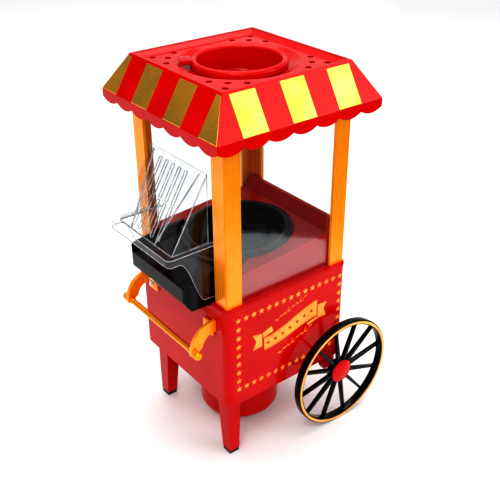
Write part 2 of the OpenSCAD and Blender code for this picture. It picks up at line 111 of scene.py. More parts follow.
class Net:
    def __init__(self, name):
        self.material = bpy.data.materials.new(name)
        self.material.use_nodes = True
        self.tree = self.material.node_tree
        self.surface = self.tree.nodes["Principled BSDF"]
        self.place = self.add("TexCoord", output="Object")
        self.facing = self.add("NewGeometry", output="Normal")

    def feed(self, socket, value):
        if isinstance(value, Wire):
            self.tree.links.new(value.socket, socket)
        elif hasattr(value, "__len__") and len(value) == 3 and len(socket.default_value) == 4:
            socket.default_value = (*value, 1)
        else:
            socket.default_value = value

    def add(self, kind, settings=None, values=None, output=0):
        node = self.tree.nodes.new("ShaderNode" + kind)
        for key, value in (settings or {}).items():
            setattr(node, key, value)
        for key, value in (values or {}).items():
            self.feed(node.inputs[key], value)
        return Wire(self, node.outputs[output])

    def axis(self, vector, index):
        return self.add("SeparateXYZ", values={0: vector}, output=index)

    def stretched(self, x, y, z):
        return self.add("VectorMath", {"operation": "MULTIPLY"}, {0: self.place, 1: (x, y, z)})

    def noise(self, scale, detail=2, vector=None, rough=0.5):
        return self.add("TexNoise", values={"Vector": vector or self.place, "Scale": scale,
                                            "Detail": detail, "Roughness": rough})

    def spread(self, wire, low, high, a=0.0, b=1.0):
        return self.add("MapRange", values={0: wire, 1: low, 2: high, 3: a, 4: b})

    def mix(self, factor, a, b):
        return self.add("Mix", {"data_type": "RGBA"}, {0: factor, 6: a, 7: b}, output=2)

    def rounded(self, radius):
        return self.add("Bevel", {"samples": 4}, {"Radius": radius})

    def bump(self, height, depth, edge=None):
        values = {"Height": height, "Distance": depth, "Strength": 1.0}
        if edge is not None:
            values["Normal"] = edge
        return self.add("Bump", values=values)

    def see_through(self, tint, cover):
        clear = self.add("BsdfTransparent", values={"Color": tint})
        gloss = Wire(self, self.surface.outputs[0])
        blend = self.add("MixShader", values={0: cover, 1: clear, 2: gloss})
        self.feed(self.tree.nodes["Material Output"].inputs["Surface"], blend)

    def finish(self, **channels):
        for key, value in channels.items():
            self.feed(self.surface.inputs[key.replace("_", " ")], value)
        return self.material


# %% [markdown]
# ## Glossy moulded plastic
# The red, black and dark red pieces are injection moulded and highly polished. Real ones are never
# perfectly even: the gloss wavers like orange peel, the colour clouds a little where the melt was
# thicker, and fine wipe marks and dust change the roughness. A Bevel node rounds the light on the
# sharp CAD edges, which is far cheaper than rounding thousands of real edges.

# %% Moulded plastic
LINT = (0.75, 0.6, 0.55)
PEEL_DEPTH = 0.012 * MM


def moulded(name, colour, deep, edge=0.7 * MM, gloss=0.16, dust=0.25):
    net = Net(name)
    cloud = net.noise(28, 3)
    peel = net.noise(420, 2)
    wipes = net.noise(60, 4, net.stretched(1, 1, 9), 0.7)
    speck = net.add("TexVoronoi", {"feature": "DISTANCE_TO_EDGE"},
                    {"Vector": net.place, "Scale": 900})
    up = net.axis(net.facing, 2).at_least(0.0)
    lint = (speck < 0.03) * up * net.spread(net.noise(120, 2), 0.55, 0.75) * dust
    paint = net.mix(net.spread(cloud, 0.3, 0.7), colour, deep)
    paint = net.mix(lint * 0.5, paint, LINT)
    rough = net.spread(wipes, 0.3, 0.75, gloss * 0.75, gloss * 1.5) + lint * 0.5
    normal = net.bump(peel, PEEL_DEPTH, net.rounded(edge))
    return net.finish(Base_Color=paint, Roughness=rough, Normal=normal, Coat_Weight=0.05,
                      Coat_Roughness=0.06, Specular_IOR_Level=0.24)


SOOT = (0.003, 0.003, 0.0035)
red = moulded("red_plastic", (0.56, 0.0006, 0.0012), (0.48, 0.0005, 0.001))
dark_red = moulded("deck_plastic", (0.46, 0.001, 0.0015), (0.38, 0.0008, 0.001))
black = moulded("black_plastic", SOOT, (0.006, 0.006, 0.0065), edge=1.2 * MM, gloss=0.1)
wheel_black = moulded("wheel_plastic", SOOT, (0.007, 0.007, 0.007), gloss=0.12)
stitch_ink = moulded("ribbon_ink", (0.22, 0.015, 0.01), (0.16, 0.01, 0.008),
                     edge=0.05 * MM, gloss=0.4)
print("moulded finishes:", [m.name for m in (red, dark_red, black, wheel_black, stitch_ink)])

# %% [markdown]
# ## Gold lacquer and hot-stamped foil
# The posts and the push bar are plastic with a warm metallic lacquer: fine flakes under a clear
# coat, with faint drawn lines along the post. The stripes, stars and wheel rings are foil stamped
# on under heat, so they are thin, bright metal that keeps the ripple of the plastic below.

# %% Lacquer
def lacquer(name, light, deep, grain=(1, 1, 0.02), metal=0.35):
    net = Net(name)
    lines = net.noise(600, 2, net.stretched(*grain))
    flakes = net.add("TexVoronoi", values={"Vector": net.place, "Scale": 2200}, output="Color")
    sparkle = net.axis(flakes, 0)
    cloud = net.spread(net.noise(35, 3), 0.3, 0.7)
    shade = cloud * 0.6 + net.spread(lines, 0.3, 0.7) * 0.2 + sparkle * 0.2
    paint = net.mix(shade, light, deep)
    rough = net.spread(lines, 0.3, 0.7, 0.24, 0.36)
    normal = net.bump(lines * 0.6 + sparkle * 0.4, PEEL_DEPTH, net.rounded(0.5 * MM))
    return net.finish(Base_Color=paint, Roughness=rough, Metallic=metal, Normal=normal,
                      Coat_Weight=0.4, Coat_Roughness=0.1)


BARE_PLASTIC = (0.45, 0.05, 0.02)     # the red that shows where the foil is rubbed through


def stamped(name, light, deep, metal=0.85, rough=0.3):
    net = Net(name)
    ripple = net.noise(45, 2)
    pores = net.noise(1500, 2)
    worn = net.spread(pores, 0.66, 0.8) * net.spread(net.noise(90, 2), 0.55, 0.75)
    paint = net.mix(net.spread(ripple, 0.35, 0.65), light, deep)
    paint = net.mix(worn * 0.6, paint, BARE_PLASTIC)
    gloss = net.spread(ripple, 0.3, 0.7, rough * 0.8, rough * 1.25) + worn * 0.2
    normal = net.bump(ripple + pores * 0.03, 0.05 * MM)
    return net.finish(Base_Color=paint, Roughness=gloss, Metallic=metal, Normal=normal)


gold = lacquer("gold_lacquer", (1.0, 0.36, 0.006), (0.95, 0.29, 0.003))
gold_bar = lacquer("gold_bar_lacquer", (1.0, 0.44, 0.02), (0.85, 0.24, 0.003),
                   grain=(0.02, 1, 1), metal=0.75)
foil = stamped("gold_foil", (1.0, 0.60, 0.13), (0.95, 0.50, 0.08), rough=0.26)
ring_foil = stamped("ring_foil", (1.0, 0.56, 0.2), (0.9, 0.44, 0.12), rough=0.3)
star_foil = stamped("star_foil", (1.0, 0.42, 0.09), (0.97, 0.35, 0.06), metal=0.2, rough=0.4)
print("gold finishes:", [m.name for m in (gold, gold_bar, foil, ring_foil, star_foil)])

# %% [markdown]
# ## Clear plastic
# Clear styrene shows itself by its reflections and its edges, hardly by its faces. A see-through
# shader mixed with a glossy one gives that without the noise of true refraction. The share of
# gloss follows the angle of the face, from a few percent face on to nearly all at a glancing
# angle, and it comes from Layer Weight because that treats both sides of a thin sheet alike. The
# side panes take a larger share, so the pale table shows in their lower half.

# %% Clear sheet
def clear_sheet(name, tint, haze=0.0, face=0.04, shine=0.9):
    net = Net(name)
    scuffs = net.noise(300, 4, net.stretched(1, 0.15, 1), 0.75)
    glance = net.add("LayerWeight", values={"Blend": 0.5}, output="Facing")
    cover = glance ** 5.0 * shine + face + net.spread(scuffs, 0.6, 0.8) * 0.02 + haze
    net.see_through(tint, cover.at_most(1.0))
    return net.finish(Base_Color=(0.8, 0.84, 0.86), Metallic=1.0,
                      Roughness=net.spread(scuffs, 0.3, 0.8, 0.02, 0.12),
                      Normal=net.bump(net.noise(18, 2), 0.3 * MM))


PANE_TINT = (0.985, 0.992, 0.995)
clear = clear_sheet("clear_pane", PANE_TINT, face=0.09)
clear_rear = clear_sheet("clear_rear_pane", PANE_TINT)
clear_hood = clear_sheet("clear_hood", (0.97, 0.975, 0.98), haze=0.004)

# %% [markdown]
# A cut edge of the sheet gathers light, so it looks more solid than the face. Here that light is
# painted into the colour: a painted highlight, whitish, where the edge is rounded and on the slot
# walls, and painted shade, dark, where it is square. The three edge finishes differ only in those
# painted shades.

# %% Edges of the clear sheet
def edge_with_painted_light(name, tint, solid, dim, bright):
    net = Net(name)
    streak = net.spread(net.noise(260, 3, net.stretched(1, 1, 0.3)), 0.35, 0.65)
    # The dark see-through tint and the base colour are painted light, not the sheet's own colour.
    net.see_through(tint, streak * 0.2 + solid)
    return net.finish(Base_Color=net.mix(streak, dim, bright), Roughness=0.12,
                      Normal=net.bump(streak, 0.02 * MM))


# Painted shade: square cut edges get a dark colour and a dark see-through tint.
square_edge_painted_shade = edge_with_painted_light("square_edge_painted_shade", (0.10, 0.11, 0.13), 0.3,
                        dim=(0.25, 0.27, 0.3), bright=(0.6, 0.62, 0.65))
# Painted highlight: rounded edges get a whitish colour.
rounded_edge_painted_highlight = edge_with_painted_light("rounded_edge_painted_highlight", (0.06, 0.065, 0.07), 0.42,
                         dim=(0.75, 0.77, 0.8), bright=(0.95, 0.96, 0.98))
# Painted highlight: the slot walls get a whitish colour.
slot_wall_painted_highlight = edge_with_painted_light("slot_wall_painted_highlight", (0.3, 0.31, 0.33), 0.3,
                       dim=(0.5, 0.52, 0.55), bright=(0.9, 0.92, 0.95))
HOOD_FINISHES = (clear_hood, square_edge_painted_shade, rounded_edge_painted_highlight, slot_wall_painted_highlight)
# CUT names the finish with painted shade, ROUND and SLOT the finishes with a painted highlight.
FACE, CUT, ROUND, SLOT = range(len(HOOD_FINISHES))
print("hood finishes:", [m.name for m in HOOD_FINISHES])

# %% [markdown]
# ## Metal and rubber
# The screws, axle and heater are plated or drawn steel, the popping well is aluminium coloured
# nearly black, with turning rings, and the foot pads are soft rubber that picks up dust.

# %% Metal and rubber finishes
def turned(name, light, deep, ring_scale, metal=1.0, rough=0.3):
    net = Net(name)
    rings = net.noise(ring_scale, 3, net.stretched(0.05, 0.05, 1))
    paint = net.mix(net.spread(rings, 0.3, 0.7), light, deep)
    return net.finish(Base_Color=paint, Metallic=metal,
                      Roughness=net.spread(rings, 0.3, 0.7, rough * 0.7, rough * 1.3),
                      Normal=net.bump(rings, 0.03 * MM, net.rounded(0.3 * MM)))


steel = turned("plated_steel", (0.78, 0.78, 0.76), (0.6, 0.6, 0.6), 700)
well = turned("dark_aluminium", (0.03, 0.03, 0.032), (0.012, 0.012, 0.013), 900, 0.6, 0.35)
pad = Net("pad_rubber")
crumbs = pad.noise(800, 4)
rubber = pad.finish(Base_Color=pad.mix(crumbs, (0.02, 0.02, 0.02), (0.06, 0.055, 0.05)),
                    Roughness=pad.spread(crumbs, 0.3, 0.7, 0.6, 0.9),
                    Normal=pad.bump(crumbs, 0.1 * MM))
print("metal and rubber finishes:", [m.name for m in (steel, well, rubber)])

# %% [markdown]
# ## Finishes on the CAD nodes
# The record names a material slot for each node, and one table turns slots into finishes. A few
# nodes differ from the rest of their slot, so a second table, looked at first, names them.

# %% Give every CAD node its finish
finishes = {
    "red_plastic": red, "deck_plastic": dark_red, "black_plastic": black, "gold_plastic": gold,
    "gold_foil": foil, "clear_plastic": clear, "aluminium": well, "steel": steel,
    "rubber": rubber, "wheel_plastic": wheel_black,
}
special = {
    "wheel_ring_left": ring_foil, "wheel_ring_right": ring_foil, "foil_left": star_foil,
    "foil_right": star_foil, "handle_bar": gold_bar, "hood": clear_hood,
    "window_rear": clear_rear,
}
SLOT_OF = {part["node"]: part["material_slot"] for part in frame["record"]["subparts"]}
for node, piece in frame["nodes"].items():
    piece.data.materials.clear()
    piece.data.materials.append(special.get(node, finishes[SLOT_OF[node]]))
print("finishes:", sorted({p.data.materials[0].name for p in frame["nodes"].values()}))

# %% [markdown]
# ## Modelling helpers
# Most of the new pieces start as an outline: one point, extruded from corner to corner. An outline
# can then be spun round an axis, as a lathe would, or filled and given a thickness. `bend` gives
# the points of a rounded corner. Lengths in the outlines are millimetres, as on a drawing.

# %% Select, enter and leave
SMOOTH_BELOW = math.radians(35)     # faces that meet flatter than this are shaded as one


def only(piece):
    bpy.ops.object.select_all(action="DESELECT")
    piece.select_set(True)
    bpy.context.view_layer.objects.active = piece
    return piece


def edit(piece):
    only(piece)
    bpy.ops.object.mode_set(mode="EDIT")
    bpy.ops.mesh.select_all(action="SELECT")


def leave():
    bpy.ops.object.mode_set(mode="OBJECT")
    return bpy.context.object


# %% Outlines
def trace(name, corners, fill=False):
    bpy.ops.object.select_all(action="DESELECT")
    bpy.ops.mesh.primitive_plane_add(size=MM)
    bpy.context.object.name = name
    bpy.ops.object.mode_set(mode="EDIT")
    bpy.ops.mesh.merge(type="CENTER")
    bpy.ops.transform.translate(value=Vector(corners[0]) * MM)
    for here, there in zip(corners, corners[1:]):
        step = (Vector(there) - Vector(here)) * MM
        bpy.ops.mesh.extrude_region_move(TRANSFORM_OT_translate={"value": step})
    if fill:
        bpy.ops.mesh.select_all(action="SELECT")
        bpy.ops.mesh.edge_face_add()
    return leave()


def bend(centre, radius, start, end, steps=6):
    angles = [math.radians(start + (end - start) * i / steps) for i in range(steps + 1)]
    return [(centre[0] + radius * math.cos(a), centre[1] + radius * math.sin(a)) for a in angles]


# %% From outline to solid
def tidy_faces(piece):
    edit(piece)
    bpy.ops.mesh.remove_doubles(threshold=0.001 * MM)
    bpy.ops.mesh.normals_make_consistent(inside=False)
    leave()
    bpy.ops.object.shade_smooth_by_angle(angle=SMOOTH_BELOW)
    return piece


def lathe(name, corners, axis, centre=(0, 0, 0), steps=96, closed=False):
    piece = trace(name, corners + corners[:1] if closed else corners)
    edit(piece)
    bpy.ops.mesh.spin(steps=steps, angle=math.tau, center=Vector(centre) * MM, axis=axis)
    leave()
    return tidy_faces(piece)


def thicken(piece, depth):
    edit(piece)
    bpy.ops.mesh.extrude_region_move(TRANSFORM_OT_translate={"value": Vector(depth) * MM})
    leave()
    return tidy_faces(piece)


SAME_FINISH = -1     # a bevel's faces take the finish of the faces beside them


def soften(piece, width, segments=3, angle=40, finish=SAME_FINISH):
    only(piece)
    edge = piece.modifiers.new("soft_edge", "BEVEL")
    edge.material = finish
    edge.width, edge.segments, edge.limit_method = width * MM, segments, "ANGLE"
    edge.angle_limit = math.radians(angle)
    bpy.ops.object.modifier_apply(modifier=edge.name)
    bpy.ops.object.shade_smooth_by_angle(angle=SMOOTH_BELOW)
    return piece


def block(name, low, high, edge=0.5, segments=3):
    bpy.ops.object.select_all(action="DESELECT")
    bpy.ops.mesh.primitive_cube_add(size=1)
    piece = bpy.context.object
    piece.name = name
    size = [(b - a) * MM for a, b in zip(low, high)]
    centre = Vector([(a + b) / 2 for a, b in zip(low, high)]) * MM
    piece.data.transform(Matrix.Translation(centre) @ Matrix.Diagonal((*size, 1)))
    return soften(piece, edge, segments) if edge else piece


# %% Copy, join, place and dress
def copied(piece, matrix, name):
    twin = piece.copy()
    twin.data = piece.data.copy()
    twin.name = name
    bpy.context.scene.collection.objects.link(twin)
    twin.data.transform(matrix)
    if matrix.determinant() < 0:
        tidy_faces(twin)
    return twin


def joined(name, *parts):
    only(parts[0])
    for part in parts[1:]:
        part.select_set(True)
    bpy.ops.object.join()
    parts[0].name = name
    return parts[0]


def place(piece, matrix):
    piece.data.transform(matrix)
    return piece


def wear(piece, *finishes):
    while len(piece.data.materials) < len(finishes):
        piece.data.materials.append(None)
    for index, finish in enumerate(finishes):
        piece.data.materials[index] = finish
    return piece


def dress(piece, node, *finishes):
    wear(piece, *finishes)
    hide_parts(node)
    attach(piece, BODY_OF[node])
    print(piece.name, "stands for", node, "with", len(piece.data.polygons), "faces")
    return piece


BODY_OF = {node: body for body, nodes in frame["record"]["behaviour"]["bodies"].items()
           for node in nodes}
SHIFT = Matrix.Translation((0, CART_Y, 0))     # outlines are drawn about the cabinet's middle
MIRROR = Matrix.Diagonal((-1, 1, 1, 1))
UPRIGHT, CROSSWAYS = (0, 0, 1), (1, 0, 0)
print("bodies:", sorted(set(BODY_OF.values())))

# %% [markdown]
# ## Measuring cup
# The cup that lifts out of the canopy doubles as a butter warmer: a round bowl hung from a rolled
# rim. It is a turned shape, so a profile spun round the upright axis is the natural way; subdivided
# cylinders would need many loops to hold the rolled rim. The thumb tab is a rounded block.

# %% Measuring cup
FLOOR_Z, RIM_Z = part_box("measuring_cup")[0].z / MM, CUP_TOP / MM
CUP_R, CUP_WALL, ROLL = 39.2, 2, 3.4
TAB_TURN = math.radians(242)
cup_corners = ([(0, FLOOR_Z)] + bend((CUP_R - 6, FLOOR_Z + 6), 6, 270, 360)
               + [(CUP_R, RIM_Z - 6.7)] + bend((CUP_R + 3.2, RIM_Z - 6.1), 0.6, 270, 360, 3)
               + bend((CUP_R + 0.4, RIM_Z - ROLL), ROLL, 0, 90)
               + bend((CUP_R + 0.4, RIM_Z - 2.4), 2.4, 90, 180)
               + bend((CUP_R - 7.5, FLOOR_Z + 7.5), 5.5, 0, -90) + [(0, FLOOR_Z + CUP_WALL)])
cup = lathe("turned_cup", [(x, 0, z) for x, z in cup_corners], UPRIGHT, steps=120)
tab = block("thumb_tab", (CUP_R + 2.2, -7, RIM_Z - 3), (CUP_R + 13, 7, RIM_Z + 2), 1.3, 4)
ribs = [block("tab_rib", (44.6 + step, -5, RIM_Z + 1.7), (45.3 + step, 5, RIM_Z + 2.4), 0.2, 1)
        for step in (0, 2.4, 4.8)]
tab = place(joined("thumb_tab", tab, *ribs), Matrix.Rotation(TAB_TURN, 4, "Z"))
cup = place(joined("turned_cup", cup, tab), SHIFT)
dress(cup, "measuring_cup", red)

# %% [markdown]
# ## Collar of the popping chamber
# The black collar trims the hole in the deck. It leans with the deck, so it is turned upright at
# the origin and then tilted into place in the mesh itself, which leaves the object unturned.

# %% Collar
TILT, COLLAR_Y, DECK_Z = math.radians(4), -5.5, 211.5
BORE_R, NECK_R, LIP_R, NECK_DEPTH = 46.5, 48.3, 54.4, 9
collar_corners = ([(BORE_R, -NECK_DEPTH), (NECK_R, -NECK_DEPTH), (NECK_R, 0.2), (LIP_R, 0.2)]
                  + bend((LIP_R, 0.9), 0.6, -60, 90, 4) + bend((52.2, 3.4), 1.6, 270, 180, 4)
                  + bend((49.2, 2.9), 1.3, 20, 90, 4) + bend((47.8, 2.7), 1.3, 110, 180, 4))
collar = lathe("turned_collar", [(x, 0, z) for x, z in collar_corners], UPRIGHT,
               steps=120, closed=True)
on_deck = Matrix.Translation(Vector((0, COLLAR_Y, DECK_Z)) * MM) @ Matrix.Rotation(TILT, 4, "X")
dress(place(collar, SHIFT @ on_deck), "collar_ring", black)

# %% [markdown]
# ## Push bar and its arms
# The bar is a turned rod with a ball at each end. The arms are flat quarter arcs with a round eye
# for the bar and a foot screwed to the cabinet. Each arm is drawn once as an outline, thickened,
# rounded, and mirrored for the other side; a mirrored mesh has its faces turned out again.

# %% Push bar
BAR_Y, BAR_Z, BAR_R, BALL_X, BALL_R = -97.6, 139.5, 2.8, 62.4, 4.2
half_bar = (bend((-BALL_X, 0), BALL_R, 180, 50, 12) + bend((-57.6, 0), 3.3, 150, 60, 4)
            + [(-55.2, BAR_R), (-52, BAR_R)] + bend((-50.6, 0), 3.4, 125, 60, 4) + [(-48, BAR_R)])
half_bar[0] = (-BALL_X - BALL_R, 0)     # exactly on the axis, so the end closes in one point
bar_corners = half_bar + [(-x, r) for x, r in reversed(half_bar)]
bar = lathe("turned_bar", [(x, BAR_Y, BAR_Z + r) for x, r in bar_corners], CROSSWAYS,
            (0, BAR_Y, BAR_Z), steps=48)
dress(place(bar, SHIFT), "handle_bar", gold_bar)

# %% Arms
ARC_Y, ARC_Z, FRONT_Y = -76, 140, -73.35
ARC_OUT, ARC_IN, EYE_R = 25.4, 13, 4.5
ARM_X, ARM_THICK = 54, 4
arm_corners = ([(FRONT_Y, ARC_Z + ARC_OUT)] + bend((ARC_Y, ARC_Z), ARC_OUT, 90, 176, 18)
               + bend((BAR_Y, BAR_Z), EYE_R, 190, 350, 14)
               + bend((ARC_Y, ARC_Z), ARC_IN, 172, 90, 12) + [(FRONT_Y, ARC_Z + ARC_IN)])
arm = trace("curved_arm", [(ARM_X, y, z) for y, z in arm_corners], fill=True)
arm = soften(thicken(arm, (ARM_THICK, 0, 0)), 0.7, 3)
foot_plate = block("foot_plate", (40, ARC_Y, 147), (ARM_X + 1, FRONT_Y, 161), 0.8, 3)
arm_right = place(joined("curved_arm_right", arm, foot_plate), SHIFT)
arm_left = copied(arm_right, MIRROR, "curved_arm_left")
dress(arm_right, "handle_arm_right", gold)
dress(arm_left, "handle_arm_left", gold)

# %% [markdown]
# ## Spoked wheels
# A wheel is one moulding: a rounded rim with a groove for the gold ring, twelve slim spokes and a
# hub. The rim and the hub are turned, one spoke is shaped and copied round. The left wheel is the
# mirror image of the right one.

# %% Rim and hub
hub_cap_back, hub_cap_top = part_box("hub_cap_right")[0].x / MM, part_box("hub_cap_right")[1].z / MM
WHEEL_Y, WHEEL_Z = (WHEEL.y - CART_Y) / MM, WHEEL.z / MM
RIM_R, HUB_R, AXLE_R = WHEEL_Z, hub_cap_top - WHEEL_Z + 0.5, 2.6
FACE_X, BACK_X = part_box("wheel_right")[1].x / MM, hub_cap_back - 5.1
GROOVE_IN, GROOVE_OUT, GROOVE_DEPTH = RIM_R - 3.8, RIM_R - 1.2, 0.5
HUB_BACK, HUB_FACE = 80.1, 87.9
CENTRE = (0, WHEEL_Y, WHEEL_Z)


def turned_wheel_part(name, corners, steps):
    return lathe(name, [(x, WHEEL_Y, WHEEL_Z + r) for x, r in corners], CROSSWAYS, CENTRE,
                 steps, closed=True)


rim = turned_wheel_part("rim", bend((BACK_X + 2, RIM_R - 2), 2, 180, 90, 5)
                        + bend((FACE_X - 1, RIM_R - 1), 1, 90, 0, 4)
                        + [(FACE_X, GROOVE_OUT), (FACE_X - GROOVE_DEPTH, GROOVE_OUT),
                           (FACE_X - GROOVE_DEPTH, GROOVE_IN), (FACE_X, GROOVE_IN)]
                        + bend((FACE_X - 0.8, RIM_R - 4.4), 0.8, 0, -90, 3)
                        + bend((BACK_X + 1.1, RIM_R - 4.1), 1.1, 270, 180, 4), 128)
hub = turned_wheel_part("hub", [(HUB_BACK + 6.1, AXLE_R), (HUB_BACK, AXLE_R)]
                        + bend((HUB_BACK + 1.1, HUB_R - 1.1), 1.1, 180, 90, 3)
                        + bend((HUB_FACE - 1.1, HUB_R - 1.1), 1.1, 90, 0, 3)
                        + [(HUB_FACE, AXLE_R)], 64)
print("wheel radius", RIM_R, "hub radius", round(HUB_R, 2))

# %% Spokes
SPOKES, FIRST_SPOKE = 12, 9
AT_RIM, AT_HUB = 0.85, 1.3     # a spoke is drawn 3 mm wide, then made slimmer and wider
spoke = block("spoke", (82.4, WHEEL_Y - 1.5, WHEEL_Z + 10),
              (86.9, WHEEL_Y + 1.5, WHEEL_Z + RIM_R - 4.6), 0)
for corner in spoke.data.vertices:
    widen = AT_RIM if corner.co.z > (WHEEL_Z + 20) * MM else AT_HUB
    corner.co.y = WHEEL_Y * MM + (corner.co.y - WHEEL_Y * MM) * widen
soften(spoke, 0.7, 3)
to_hub = Matrix.Translation(Vector(CENTRE) * MM)
turns = [to_hub @ Matrix.Rotation(math.radians(FIRST_SPOKE + 360 * i / SPOKES), 4, "X")
         @ to_hub.inverted() for i in range(SPOKES)]
spokes = [copied(spoke, turn, "spoke") for turn in turns]
bpy.data.objects.remove(spoke)
right_wheel = place(joined("spoked_wheel_right", rim, hub, *spokes), SHIFT)
left_wheel = copied(right_wheel, MIRROR, "spoked_wheel_left")
dress(right_wheel, "wheel_right", wheel_black)
dress(left_wheel, "wheel_left", wheel_black)

# %% [markdown]
# ## Clear hood
# The hood turns the popped corn down into the chute. It is one clear moulding: a tray-like brim
# whose side skirts sweep down in an S, and a slotted sloping panel with two side walls on top. Its
# brim starts as a U-shaped outline: extruded down it makes the skirts, extruded in it makes the
# flange, and a Solidify modifier gives the sheet its thickness. The slots are cut with a Boolean,
# because ten rounded slots drawn into the panel by hand would be slow and untidy.

# %% Helpers for thin sheets
def pick_edges(piece, chosen):
    edit(piece)
    bpy.ops.mesh.select_mode(type="EDGE")
    bpy.ops.mesh.select_all(action="DESELECT")
    leave()
    for edge in piece.data.edges:
        edge.select = chosen(*(piece.data.vertices[v].co / MM for v in edge.vertices))
    bpy.ops.object.mode_set(mode="EDIT")


def extrude_edges(piece, chosen):
    count = len(piece.data.vertices)
    pick_edges(piece, chosen)
    bpy.ops.mesh.extrude_edges_move(TRANSFORM_OT_translate={"value": (0, 0, 0)})
    bpy.ops.mesh.select_mode(type="VERT")
    leave()
    return list(piece.data.vertices)[count:]     # new corners come last in the mesh


def face_front(piece, frontmost):
    if min(piece.data.polygons, key=frontmost).normal.y > 0:
        edit(piece)
        bpy.ops.mesh.flip_normals()
        leave()


def sheeted(piece, thick):
    only(piece)
    sheet = piece.modifiers.new("sheet", "SOLIDIFY")
    # The cut rim of the sheet takes the finish with painted shade.
    sheet.thickness, sheet.offset, sheet.material_offset_rim = thick * MM, -1, CUT
    bpy.ops.object.modifier_apply(modifier=sheet.name)
    return piece


# %% Brim of the hood
BRIM_Z, REACH, REAR, HOOD_X, CORNER_R = 237.8, -115, -62, 50, 5
FOOT_Y, HEAD_Y, HEAD_Z, PANEL_X = -107.5, -68.7, 303.5, 44
SKIRT_STEPS, FLANGE_GAP = 32, 0.8
side_steps = [REAR + (REACH + CORNER_R - REAR) * i / SKIRT_STEPS for i in range(SKIRT_STEPS + 1)]
left_path = ([(-HOOD_X, y) for y in side_steps]
             + bend((-HOOD_X + CORNER_R, REACH + CORNER_R), CORNER_R, 180, 270, 8)[1:])
u_path = left_path + [(-x, y) for x, y in reversed(left_path)]


def skirt_foot(y):
    t = min(max((y + 104) / 25, 0), 1) ** 1.15
    sweep, rear_drop = 44.6 * (3 * t * t - 2 * t ** 3), 1.2 * max(0, (y + 79) / 17)
    return BRIM_Z - 7.6 - sweep - rear_drop


brim = trace("brim", [(x, y, BRIM_Z) for x, y in u_path])
edit(brim)
bpy.ops.mesh.extrude_region_move(TRANSFORM_OT_translate={"value": (0, 0, -MM)})
leave()
for corner in brim.data.vertices:
    if corner.co.z < (BRIM_Z - 0.5) * MM:
        corner.co.z = skirt_foot(corner.co.y / MM) * MM
for corner in extrude_edges(brim, lambda a, b: min(a.z, b.z) > BRIM_Z - 0.5):
    inner_x = PANEL_X - FLANGE_GAP
    corner.co.x = max(-inner_x, min(inner_x, corner.co.x / MM)) * MM
    corner.co.y = max(FOOT_Y + FLANGE_GAP, corner.co.y / MM) * MM
tidy_faces(brim)
face_front(brim, lambda face: face.center.y)
wear(brim, *HOOD_FINISHES[:SLOT])
# The rounded bevels take the finish with a painted highlight.
soften(sheeted(brim, 1.2), 0.5, 3, 50, finish=ROUND)
print("brim", [round(v, 4) for v in brim.dimensions])

# %% Sloping panel and side walls
panel = trace("panel", [(-PANEL_X, FOOT_Y, BRIM_Z), (PANEL_X, FOOT_Y, BRIM_Z),
                        (PANEL_X, HEAD_Y, HEAD_Z), (-PANEL_X, HEAD_Y, HEAD_Z)], fill=True)
for side in (-1, 1):
    for corner in extrude_edges(panel, lambda a, b: a.x * side > 0 and b.x * side > 0):
        corner.co.y = HEAD_Y * MM     # both new corners go to the rear, so the wall is a triangle
tidy_faces(panel)
face_front(panel, lambda face: -abs(face.normal.y))
sheeted(wear(panel, *HOOD_FINISHES), 1.5)

lean = math.atan2(HEAD_Y - FOOT_Y, HEAD_Z - BRIM_Z)
panel_length = math.hypot(HEAD_Y - FOOT_Y, HEAD_Z - BRIM_Z)
on_panel = Matrix.Translation(Vector((0, FOOT_Y, BRIM_Z)) * MM) @ Matrix.Rotation(-lean, 4, "X")
print("panel length", round(panel_length, 1), "lean", round(math.degrees(lean), 1))

# %% Slots
SLOT_STEP, FIRST_SLOT, SLOT_HALF = 10, -22.2, 1.5
cutters = []
for low, high in ((0.05, 0.47), (0.49, 0.92)):     # two rows, as shares of the panel's length
    cutter = block("slot", (-SLOT_HALF, -5, panel_length * low),
                   (SLOT_HALF, 5, panel_length * high), 0)
    pick_edges(cutter, lambda a, b: abs(a.y - b.y) > 5)
    bpy.ops.mesh.bevel(offset=(SLOT_HALF - 0.05) * MM, segments=6)
    bpy.ops.mesh.select_mode(type="VERT")
    leave()
    for column in range(5):
        across = Matrix.Translation(((column * SLOT_STEP + FIRST_SLOT) * MM, 0, 0))
        cutters.append(copied(cutter, on_panel @ across, "slot"))
    bpy.data.objects.remove(cutter)
slots = wear(joined("slots", *cutters), *HOOD_FINISHES)
# The slot walls take the finish with a painted highlight.
for face in slots.data.polygons:
    face.material_index = SLOT
cut = panel.modifiers.new("slots", "BOOLEAN")
cut.object, cut.operation, cut.solver = slots, "DIFFERENCE", "EXACT"
only(panel)
bpy.ops.object.modifier_apply(modifier=cut.name)
bpy.data.objects.remove(slots)
# The rounded bevels round the slots take the finish with a painted highlight.
soften(panel, 0.35, 2, 30, finish=ROUND)
print("slots cut:", len(cutters), "panel faces:", len(panel.data.polygons))

# %% Stiffening ribs
stiffeners = []
for head_x, foot_x in ((-37.8, -24.6), (33.4, 15.0)):
    rib = block("stiffener", (-0.7, 1.2, 0), (0.7, 2.2, panel_length * 0.96), 0)
    for corner in rib.data.vertices:
        corner.co.x += (foot_x if corner.co.z < 5 * MM else head_x) * MM
    stiffeners.append(wear(place(soften(rib, 0.25, 2), on_panel), *HOOD_FINISHES[:SLOT]))
    # The ribs take the finish with a painted highlight.
    for face in rib.data.polygons:
        face.material_index = ROUND
hood = place(joined("slotted_hood", panel, brim, *stiffeners), SHIFT)
dress(hood, "hood", *HOOD_FINISHES)

# %% [markdown]
# ## Stitches and flourishes
# The printed ribbon on each side has dashes along its edges, and a pen flourish above and below
# it. They are thin foil, so each is a real raised sliver rather than a painted line: one dash is
# shaped and copied along the ribbon, and a looping line pulled sideways by a fixed step swells
# and thins as a broad pen nib does.

